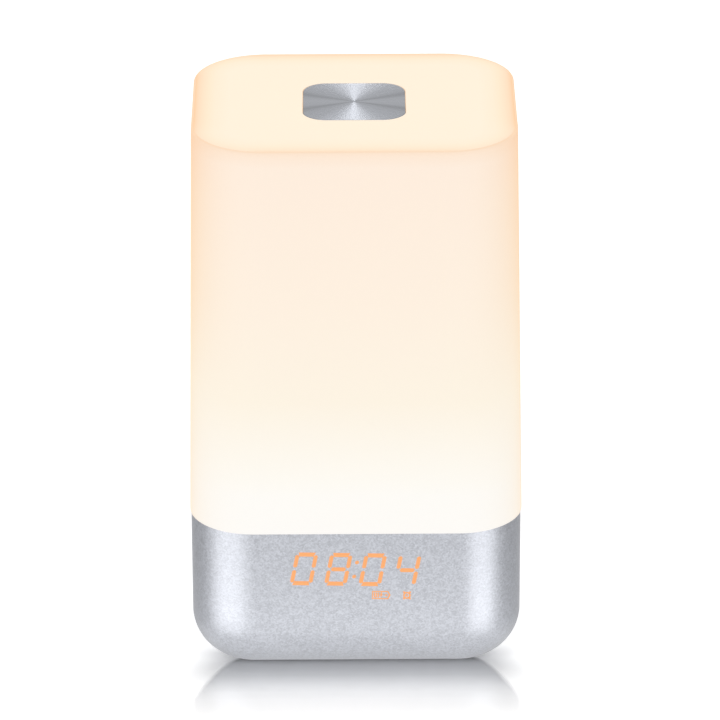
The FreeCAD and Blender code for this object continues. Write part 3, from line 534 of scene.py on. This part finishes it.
finishes = {
    "shade_milky": milky_shade(),
    "base_silver": silver_paint(),
    "plate_metal": sunray_metal(),
    "cover_grey": grained("cover plastic", (0.36, 0.37, 0.39), 0.55, 1800.0, 0.06, 0.35),
    "foot_rubber": grained("foot rubber", (0.045, 0.045, 0.045), 0.8, 1400.0, 0.1, 0.4),
    "key_silver": grained("key plastic", (0.46, 0.47, 0.50), 0.38, 2600.0, 0.04, 0.1, metallic=0.5),
    "tray_white": grained("tray plastic", (0.86, 0.86, 0.85), 0.45, 1200.0, 0.02, 0.1),
    "board_white": grained("white board", (0.82, 0.82, 0.79), 0.4, 3000.0, 0.03, 0.15),
    "board_green": grained("green board", (0.03, 0.16, 0.06), 0.35, 3000.0, 0.12, 0.25),
    "lamp_yellow": grained("lamp phosphor", (0.95, 0.72, 0.28), 0.3, 4000.0, 0.05, 0.1, emission=1.0),
    "case_black": grained("display case", (0.02, 0.02, 0.02), 0.5, 2200.0, 0.1, 0.2),
    "display_amber": grained("display window", (0.9, 0.42, 0.12), 0.35, 3000.0, 0.05, 0.1, emission=1.0),
    "film_smoke": grained("display film", (0.55, 0.55, 0.55), 0.4, 2500.0, 0.03, 0.05),
    "screw_steel": grained("screw steel", (0.5, 0.5, 0.51), 0.32, 5000.0, 0.1, 0.2, metallic=1.0),
    "socket_steel": grained("socket steel", (0.6, 0.6, 0.61), 0.22, 5000.0, 0.05, 0.1, metallic=1.0),
    "part_black": grained("black plastic", (0.025, 0.025, 0.025), 0.45, 2600.0, 0.1, 0.2),
    "plug_white": grained("plug plastic", (0.78, 0.76, 0.69), 0.5, 1800.0, 0.04, 0.15),
    "plunger_dark": grained("plunger plastic", (0.03, 0.03, 0.03), 0.4, 3000.0, 0.1, 0.1),
    "lead_red": grained("red insulation", (0.42, 0.02, 0.015), 0.4, 2500.0, 0.08, 0.1),
    "lead_grey": grained("grey insulation", (0.42, 0.42, 0.42), 0.4, 2500.0, 0.06, 0.1),
    "ribbon_white": grained("flat lead plastic", (0.75, 0.75, 0.75), 0.45, 2500.0, 0.04, 0.1),
    "adhesive": grained("foam tape", (0.7, 0.7, 0.66), 0.9, 1500.0, 0.08, 0.6),
    "gasket_foam": grained("gasket foam", (0.03, 0.03, 0.03), 0.95, 1200.0, 0.2, 0.8),
    "cone_paper": grained("cone pulp", (0.03, 0.03, 0.03), 0.85, 900.0, 0.3, 0.6),
    "magnet_steel": grained("magnet steel", (0.22, 0.22, 0.225), 0.45, 2000.0, 0.1, 0.3, metallic=0.8),
    "cell_wrap": grained("cell wrap", (0.03, 0.12, 0.32), 0.25, 1200.0, 0.05, 0.08),
}
lit_finish = lit_amber()
# Painted shade: near black for the screws' cross recesses
recess_shade_finish = grained("recess painted shade", (0.05, 0.05, 0.05), 0.5, 3000.0, 0.1, 0.2, metallic=0.6)

for subpart in frame["record"]["subparts"]:
    for material_slot in nodes[subpart["node"]].material_slots:
        material_slot.material = finishes[subpart["material_slot"]]


def circle(x, z, radius):
    turns = [2 * math.pi * i / CIRCLE_STEPS for i in range(CIRCLE_STEPS)]
    return [(x + radius * math.cos(turn), z + radius * math.sin(turn)) for turn in turns]


def slab(builder, outline, low_y=-SKIN_PROUD, high_y=SKIN_SUNK):
    """Adds a flat piece with this (x, z) outline. By default it is as deep as the lit pieces."""
    front = [builder.verts.new((x, low_y, z)) for x, z in outline]
    back = [builder.verts.new((x, high_y, z)) for x, z in outline]
    builder.faces.new(front)
    builder.faces.new(list(reversed(back)))
    count = len(outline)
    for i in range(count):
        j = (i + 1) % count
        builder.faces.new((front[i], back[i], back[j], front[j]))


def finished(name, builder, material=None):
    bmesh.ops.recalc_face_normals(builder, faces=builder.faces)
    mesh = bpy.data.meshes.new(name)
    builder.to_mesh(mesh)
    builder.free()
    if material:
        mesh.materials.append(material)
    return link_new(name, mesh)


def pointed_bar(length, thickness):
    """Outline of one lit bar, lying along X, with blunt points at its ends."""
    reach = length / 2
    half = thickness / 2
    point = 0.7 * half
    shoulder = reach - point
    return [(-reach, 0), (-shoulder, half), (shoulder, half),
            (reach, 0), (shoulder, -half), (-shoulder, -half)]


def outer_bar():
    """Outline of a figure's top bar: its upper edge is the longer one."""
    half = BAR_THICKNESS / 2
    return [(-BAR_OUTER_LENGTH / 2, half), (BAR_OUTER_LENGTH / 2, half),
            (BAR_INNER_LENGTH / 2, -half), (-BAR_INNER_LENGTH / 2, -half)]


# Which of the seven bars each figure lights
LIT_BARS = {
    "0": ("top", "bottom", "upper left", "lower left", "upper right", "lower right"),
    "4": ("middle", "upper left", "upper right", "lower right"),
    "8": ("top", "middle", "bottom", "upper left", "lower left", "upper right", "lower right"),
}


def bar_places():
    """Place and turn of every lit bar of the four figures, before they are slanted, by the bar's kind."""
    side = DIGIT_WIDTH / 2 - UPRIGHT_THICKNESS / 2
    rise = DIGIT_HEIGHT / 2 - BAR_THICKNESS / 2
    places = {"outer": [], "middle": [], "upright": []}
    for i, figure in enumerate(DIGITS):
        centre = (i - (len(DIGITS) - 1) / 2) * DIGIT_PITCH
        for bar in LIT_BARS[figure]:
            if bar == "top":
                places["outer"].append(((centre, 0, rise), (0, 0, 0)))
            elif bar == "bottom":
                places["outer"].append(((centre, 0, -rise), (0, math.pi, 0)))
            elif bar == "middle":
                places["middle"].append(((centre, 0, 0), (0, 0, 0)))
            else:
                up = UPRIGHT_RISE if bar.startswith("upper") else -UPRIGHT_RISE
                across = side if bar.endswith("right") else -side
                places["upright"].append(((centre + across, 0, up), (0, math.pi / 2, 0)))
    return places


def repeat_tree(name, material):
    """Geometry nodes that put one piece on every point, turned by the point's own turn."""
    tree = bpy.data.node_groups.new(name, "GeometryNodeTree")
    tree.interface.new_socket("Points", in_out="INPUT", socket_type="NodeSocketGeometry")
    tree.interface.new_socket("Piece", in_out="INPUT", socket_type="NodeSocketObject")
    tree.interface.new_socket("Geometry", in_out="OUTPUT", socket_type="NodeSocketGeometry")
    start = tree.nodes.new("NodeGroupInput")
    end = tree.nodes.new("NodeGroupOutput")
    info = tree.nodes.new("GeometryNodeObjectInfo")
    turn = tree.nodes.new("GeometryNodeInputNamedAttribute")
    turn.data_type = "FLOAT_VECTOR"
    turn.inputs["Name"].default_value = "turn"
    place = tree.nodes.new("GeometryNodeInstanceOnPoints")
    realize = tree.nodes.new("GeometryNodeRealizeInstances")
    paint = tree.nodes.new("GeometryNodeSetMaterial")
    paint.inputs["Material"].default_value = material
    link = tree.links.new
    link(start.outputs["Points"], place.inputs["Points"])
    link(start.outputs["Piece"], info.inputs["Object"])
    link(info.outputs["Geometry"], place.inputs["Instance"])
    link(turn.outputs["Attribute"], place.inputs["Rotation"])
    link(place.outputs["Instances"], realize.inputs["Geometry"])
    link(realize.outputs["Geometry"], paint.inputs["Geometry"])
    link(paint.outputs["Geometry"], end.inputs["Geometry"])
    return tree


def repeated(name, piece, places, tree):
    """A plain mesh of the piece at every (place, turn about three axes)."""
    mesh = bpy.data.meshes.new(name)
    mesh.from_pydata([place for place, _ in places], [], [])
    attribute = mesh.attributes.new("turn", "FLOAT_VECTOR", "POINT")
    for i, (_, turn) in enumerate(places):
        attribute.data[i].vector = turn
    carrier = link_new(name, mesh)
    modifier = carrier.modifiers.new("repeat", "NODES")
    modifier.node_group = tree
    socket = tree.interface.items_tree["Piece"].identifier
    modifier[socket] = piece
    bpy.context.view_layer.update()
    depsgraph = bpy.context.evaluated_depsgraph_get()
    made = bpy.data.meshes.new_from_object(carrier.evaluated_get(depsgraph))
    carrier.modifiers.remove(modifier)
    carrier.data = made
    return carrier


def put_on_skin(piece, slant):
    """Leans the figures to the right, and puts figures and marks in place in the skin of the base."""
    for vertex in piece.data.vertices:
        x = vertex.co.x + vertex.co.z * slant
        z = vertex.co.z
        vertex.co.x = DIGIT_X + x * math.cos(DIGIT_TURN) - z * math.sin(DIGIT_TURN)
        vertex.co.z = DIGIT_Z + x * math.sin(DIGIT_TURN) + z * math.cos(DIGIT_TURN)
        vertex.co.y += FRONT_Y
    return piece


def lit_figures():
    """The figures and the colon, each a thin lit piece in the skin of the base."""
    tree = repeat_tree("lit bars", lit_finish)
    outlines = {
        "outer": outer_bar(),
        "middle": pointed_bar(MIDDLE_BAR_LENGTH, MIDDLE_BAR_THICKNESS),
        "upright": pointed_bar(UPRIGHT_LENGTH, UPRIGHT_THICKNESS),
    }
    pieces = []
    for kind, places in bar_places().items():
        builder = bmesh.new()
        slab(builder, outlines[kind])
        bar = finished("bar " + kind, builder)
        pieces.append(repeated("display_bars_" + kind, bar, places, tree))
        bpy.data.objects.remove(bar)
    builder = bmesh.new()
    for rise in (-COLON_RISE, COLON_RISE):
        slab(builder, circle(0, rise, COLON_RADIUS))
    pieces.append(finished("display_colon", builder, lit_finish))
    return [put_on_skin(piece, DIGIT_SLANT) for piece in pieces]


def rectangle(left, right, bottom, top):
    return [(left, bottom), (right, bottom), (right, top), (left, top)]


def battery_mark():
    """A battery with three bars, a flash and a plus sign in it."""
    builder = bmesh.new()
    width, height, tip, line = 4.85 * MM, 2.7 * MM, 0.7 * MM, 0.33 * MM
    middle = -MARK_DROP
    left = BATTERY_X - width / 2 - 0.35 * MM
    low = middle - height / 2
    right = left + width
    high = low + height
    rectangles = [
        (left, right, high - line, high),
        (left, right, low, low + line),
        (left, left + line, low + line, high - line),
    ]
    # Widths and gaps of the signs inside, counted in line widths
    first_bar, bar_pitch, bar_width, bar_gap = 1.7, 1.75, 1.15, 1.6
    for i in range(3):
        bar = left + (first_bar + bar_pitch * i) * line
        rectangles.append((bar, bar + bar_width * line, low + bar_gap * line, high - bar_gap * line))
    plus = right - 1.9 * line
    arm, half = 1.3 * line, 0.42 * line
    rectangles.append((plus - arm, plus + arm, middle - half, middle + half))
    rectangles.append((plus - half, plus + half, middle + half, middle + arm))
    rectangles.append((plus - half, plus + half, middle - arm, middle - half))
    for sides in rectangles:
        slab(builder, rectangle(*sides))
    setback = 1.2 * line
    slab(builder, [
        (right, low), (right + tip, middle), (right, high), (right - setback, high),
        (right + tip - 1.5 * line, middle), (right - setback, low),
    ])
    flash_x, flash_size = left + 2.75 * MM, 0.46 * MM
    flash = [(0.1, 2.0), (-1.3, -0.4), (-0.3, -0.4), (-0.6, -2.0), (1.3, 0.5), (0.3, 0.5), (0.8, 2.0)]
    slab(builder, [(flash_x + across * flash_size, middle + up * flash_size) for across, up in flash])
    return put_on_skin(finished("display_battery_mark", builder, lit_finish), 0.0)


def alarm_mark():
    """A small clock with two bells, two feet and a hub."""
    builder = bmesh.new()
    middle = -MARK_DROP
    inner = circle(ALARM_X, middle, 0.68 * MM)
    outer = circle(ALARM_X, middle, 1.16 * MM)
    for i in range(CIRCLE_STEPS):
        j = (i + 1) % CIRCLE_STEPS
        slab(builder, [inner[i], outer[i], outer[j], inner[j]])
    bmesh.ops.remove_doubles(builder, verts=builder.verts, dist=0.001 * MM)
    slab(builder, circle(ALARM_X, middle, 0.32 * MM))
    across, up, half = 0.88 * MM, 1.04 * MM, 0.29 * MM
    for side in (-1, 1):
        for lift in (-1, 1):
            x, z = ALARM_X + side * across, middle + lift * up
            slab(builder, rectangle(x - half, x + half, z - half, z + half))
    return put_on_skin(finished("display_alarm_mark", builder, lit_finish), 0.0)


def screw_crosses():
    """Cross recesses in the heads of the four screws under the base, each screw turned its own way. They
    are thin near-black slabs on the heads: painted shade in the recesses.
    """
    builder = bmesh.new()
    arm, half, depth = 1.1 * MM, 0.22 * MM, 0.02 * MM
    outline = [(-half, -arm), (half, -arm), (half, -half), (arm, -half), (arm, half), (half, half),
               (half, arm), (-half, arm), (-half, half), (-arm, half), (-arm, -half), (-half, -half)]
    slab(builder, outline, -depth, depth)
    bmesh.ops.rotate(builder, verts=builder.verts, matrix=Matrix.Rotation(math.pi / 2, 3, "X"))
    cross = finished("cross", builder, recess_shade_finish)
    head_radius = 1.9 * MM
    out_x = (screw_high.x - screw_low.x) / 2 - head_radius
    out_y = (screw_high.y - screw_low.y) / 2 - head_radius
    first_turn, turn_step = 0.4, 0.7
    places = []
    for i, (side_x, side_y) in enumerate(((1, 1), (-1, 1), (-1, -1), (1, -1))):
        turn = first_turn + turn_step * i
        places.append(((side_x * out_x, side_y * out_y, screw_low.z), (0, 0, turn)))
    piece = repeated("cover_screw_crosses", cross, places, repeat_tree("screw crosses", recess_shade_finish))
    bpy.data.objects.remove(cross)
    return piece


for lit_piece in lit_figures() + [battery_mark(), alarm_mark()]:
    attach(lit_piece, HOUSING)
crosses = screw_crosses()
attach(crosses, HOUSING)

# The floor's mirror image, by distance in front of the foot as a share of MIRROR_REACH: how much of it
# shows, how light it is, and how strong the floor's own light is under it. The darker mirror image and
# weaker own light near the foot are a painted contact shadow.
MIRROR_REACH = 42 * MM
MIRROR_SHARE = (
    (0.0, 0.65), (0.286, 0.65), (0.374, 0.6), (0.464, 0.467), (0.552, 0.33), (0.68, 0.235), (0.82, 0.14),
    (1.0, 0.04),
)
MIRROR_TONE = ((0.0, 0.2), (0.036, 0.3), (0.088, 0.88), (0.143, 0.96), (0.5, 1.0))
LIGHT_UNDER_MIRROR = (
    (0.0, 0.0), (0.088, 0.0), (0.143, 0.08), (0.195, 0.14), (0.286, 0.37), (0.374, 0.67), (0.464, 0.73),
    (0.82, 0.75), (1.0, 0.92),
)
# Half the width of the mirror image at the foot, how much it widens, and the widening's shape
STRIP_AT_FOOT = 33.5 * MM
STRIP_WIDENING = 15.7 * MM
WIDENING_SPEED = 1.4
WIDENING_POWER = 0.6
STRIP_EDGE = (-0.5 * MM, 2 * MM)
STRIP_START = (-0.09, -0.03)
# Soft shadow at both sides of the mirror image: the least half width it starts from, its edge, how it
# starts and fades along MIRROR_REACH, and how much of the floor's own light it takes away
SHADOW_STRIP = 35.7 * MM
SHADOW_EDGE = (-3 * MM, 18 * MM)
SHADOW_START = (-0.25, -0.03)
SHADOW_FADE = (0.0, 0.61)
SHADOW_STRENGTH = 0.98
FLOOR_WHITE = (0.82, 0.82, 0.82, 1)
FLOOR_LIGHT = 0.70
# What metal sees through the floor, by distance from the foot as a share of SHADE_REACH
SHADE_REACH = 0.12
SHADE_TONE = ((0.0, 0.58), (0.11, 0.91), (0.2, 1.0), (0.35, 1.0), (0.6, 0.92), (1.0, 0.73))


def floor_material():
    """White glossy floor. It mirrors the clock near its foot, and the mirror image fades outwards."""
    material = bpy.data.materials.new("glossy floor")
    material.use_nodes = True
    material.node_tree.nodes.clear()
    tree = Tree(material.node_tree)
    path = tree.add("ShaderNodeLightPath").outputs

    x, y, _ = tree.split(tree.add("ShaderNodeTexCoord").outputs["Object"])
    side = tree.math("ABSOLUTE", x)
    foot_x, foot_y = HALF_WIDTH - BOTTOM_EDGE, HALF_DEPTH - BOTTOM_EDGE
    beyond_x = tree.math("MAXIMUM", tree.math("SUBTRACT", side, foot_x), 0.0)
    beyond_y = tree.math("MAXIMUM", tree.math("SUBTRACT", tree.math("ABSOLUTE", y), foot_y), 0.0)
    away = tree.length(beyond_x, beyond_y)
    ahead = tree.math("DIVIDE", tree.math("SUBTRACT", -foot_y, y), MIRROR_REACH)

    # The mirror image keeps to a strip in front, as wide as the clock's own image in the floor
    widening = tree.math("POWER", tree.math("MULTIPLY", ahead, WIDENING_SPEED, clamp=True), WIDENING_POWER)
    strip = tree.math("MULTIPLY_ADD", widening, STRIP_WIDENING, STRIP_AT_FOOT)
    inside = tree.between(tree.math("SUBTRACT", side, strip), *STRIP_EDGE, 1.0, 0.0)
    kept = tree.math("MULTIPLY", inside, tree.between(ahead, *STRIP_START))
    mirror = tree.add("ShaderNodeBsdfGlossy")
    mirror.inputs["Roughness"].default_value = 0.04
    # Painted contact shadow: the mirror image darker near the foot
    tree.join(tree.ramp(ahead, MIRROR_TONE), mirror.inputs["Color"])

    # Painted soft shadow beside the strip, and a painted contact shadow that darkens the floor under the
    # mirror image
    from_strip = tree.math("SUBTRACT", side, tree.math("MAXIMUM", strip, SHADOW_STRIP))
    beside = tree.between(from_strip, *SHADOW_EDGE, SHADOW_STRENGTH, 0.0)
    fading = tree.between(ahead, *SHADOW_FADE, 1.0, 0.0)
    near = tree.math("MULTIPLY", fading, tree.between(ahead, *SHADOW_START))
    shadow = tree.math("MULTIPLY", tree.math("MULTIPLY", beside, near), tree.math("SUBTRACT", 1.0, kept))
    contact_shadow = tree.math("SUBTRACT", 1.0, tree.ramp(ahead, LIGHT_UNDER_MIRROR))
    lit = tree.math("SUBTRACT", 1.0, tree.math("MULTIPLY", kept, contact_shadow))
    own_level = tree.math("MULTIPLY", tree.math("SUBTRACT", lit, shadow), FLOOR_LIGHT)
    seen = tree.math("MAXIMUM", path["Is Camera Ray"], path["Is Transmission Ray"])

    matt = tree.add("ShaderNodeBsdfDiffuse")
    matt.inputs["Color"].default_value = FLOOR_WHITE
    own = tree.add("ShaderNodeEmission")
    tree.join(tree.math("MULTIPLY", seen, own_level), own.inputs["Strength"])
    plain = tree.add("ShaderNodeAddShader")
    tree.join(matt.outputs[0], plain.inputs[0])
    tree.join(own.outputs[0], plain.inputs[1])
    through = tree.add("ShaderNodeBsdfTransparent")
    shade = tree.ramp(tree.math("DIVIDE", away, SHADE_REACH), SHADE_TONE)
    tree.join(shade, through.inputs["Color"])

    def mix_shaders(share, first, second):
        node = tree.add("ShaderNodeMixShader")
        tree.join(share, node.inputs["Fac"])
        tree.join(first.outputs[0], node.inputs[1])
        tree.join(second.outputs[0], node.inputs[2])
        return node

    share = tree.math("MULTIPLY", tree.ramp(ahead, MIRROR_SHARE), kept)
    blend = mix_shaders(tree.math("MULTIPLY", share, path["Is Camera Ray"]), plain, mirror)
    # Metal shows the surroundings through the floor, darker where the clock shades it
    whole = mix_shaders(path["Is Glossy Ray"], blend, through)
    output = tree.add("ShaderNodeOutputMaterial")
    tree.join(whole.outputs[0], output.inputs["Surface"])
    return material


def floor():
    mesh = bpy.data.meshes.new("floor")
    reach = 3.0
    corners = [(-reach, -reach, 0), (reach, -reach, 0), (reach, reach, 0), (-reach, reach, 0)]
    mesh.from_pydata(corners, [], [(0, 1, 2, 3)])
    mesh.materials.append(floor_material())
    piece = link_new("floor", mesh)


# What metal mirrors below the horizon: (degrees from the front, positive to the right; strength)
STUDIO_RING = (
    (-180, 0.90), (-165, 0.76), (-150, 0.58), (-105, 0.64), (-92, 0.86), (-76, 1.66), (-66, 2.12),
    (-30, 2.14), (-15, 1.62), (-5, 1.10), (10, 1.06), (20, 1.56), (30, 2.20), (59, 2.16), (78, 0.88),
    (94, 0.66), (150, 0.60), (165, 0.76), (180, 0.90),
)
# Strength straight below, and the heights of direction over which the ring goes over into it and into
# the white above the horizon
STRAIGHT_BELOW = 1.08
UNDER_RING = (-0.80, -0.48)
OVER_RING = (-0.05, 0.15)
# Strength of the white surroundings where they are seen, and on everything that isn't metal
WORLD_SEEN = 1.0
WORLD_ON_MATT = 0.35


def white_surroundings():
    """White behind everything that is seen, a softer level for what it lights, and for metal a ring of
    light and dark panels round the clock."""
    world = bpy.data.worlds.new("studio")
    bpy.context.scene.world = world
    world.use_nodes = True
    tree = Tree(world.node_tree)
    background = world.node_tree.nodes["Background"]
    background.inputs["Color"].default_value = (1, 1, 1, 1)
    path = tree.add("ShaderNodeLightPath").outputs

    x, y, z = tree.split(tree.add("ShaderNodeTexCoord").outputs["Generated"])
    turn = tree.math("ARCTAN2", x, tree.math("MULTIPLY", y, -1.0))
    share = tree.math("MULTIPLY_ADD", turn, 1 / (2 * math.pi), 0.5)
    brightest = max(strength for _, strength in STUDIO_RING)
    ring = tree.ramp(share, [
        ((degrees + 180) / 360, strength / brightest) for degrees, strength in STUDIO_RING])
    panels = tree.math("MULTIPLY", ring, brightest)
    low = tree.between(z, *UNDER_RING, STRAIGHT_BELOW, panels)
    in_metal = tree.between(z, *OVER_RING, low, WORLD_SEEN)
    seen = tree.math("MAXIMUM", path["Is Camera Ray"], path["Is Transmission Ray"])
    plain = tree.between(seen, 0.0, 1.0, WORLD_ON_MATT, WORLD_SEEN)
    level = tree.between(path["Is Glossy Ray"], 0.0, 1.0, plain, in_metal)
    tree.join(level, background.inputs["Strength"])


def direction(turn, rise):
    """Unit vector that points turn to the right of the front and rise above level."""
    return Vector((math.sin(turn) * math.cos(rise), -math.cos(turn) * math.cos(rise), math.sin(rise)))


def softbox(name, turn, rise, distance, width, height, power):
    """Soft light that faces the clock. turn is counted from the front, to the right."""
    light = bpy.data.lights.new(name, "AREA")
    light.shape = "RECTANGLE"
    light.size = width
    light.size_y = height
    light.energy = power
    lamp = link_new(name, light)
    back = direction(math.radians(turn), math.radians(rise))
    lamp.location = AIM + back * distance
    lamp.rotation_euler = (-back).to_track_quat("-Z", "Y").to_euler()


def camera():
    data = bpy.data.cameras.new("camera")
    data.lens = CAMERA_LENS
    data.sensor_width = CAMERA_SENSOR
    data.shift_x = (PICTURE / 2 - AIM_PIXEL[0]) / PICTURE
    data.shift_y = (AIM_PIXEL[1] - PICTURE / 2) / PICTURE
    data.clip_end = CAMERA_REACH
    view = link_new("camera", data)
    back = direction(CAMERA_YAW, CAMERA_PITCH)
    view.location = AIM + back * CAMERA_DISTANCE
    facing = (-back).to_track_quat("-Z", "Y")
    view.rotation_mode = "QUATERNION"
    view.rotation_quaternion = facing @ Matrix.Rotation(CAMERA_ROLL, 3, "Z").to_quaternion()
    bpy.context.scene.camera = view


floor()
white_surroundings()
softbox("left softbox", turn=-50, rise=12, distance=1.0, width=0.5, height=0.6, power=2.2)
softbox("right softbox", turn=50, rise=12, distance=1.0, width=0.5, height=0.6, power=1.8)
softbox("rear strip", turn=180, rise=55, distance=1.0, width=0.08, height=0.7, power=0.85)
softbox("rear panel", turn=180, rise=55, distance=1.0, width=0.55, height=0.6, power=0.8)
softbox("top softbox", turn=0, rise=75, distance=1.2, width=0.9, height=0.9, power=1.4)
camera()
bpy.context.scene.view_settings.view_transform = "Standard"
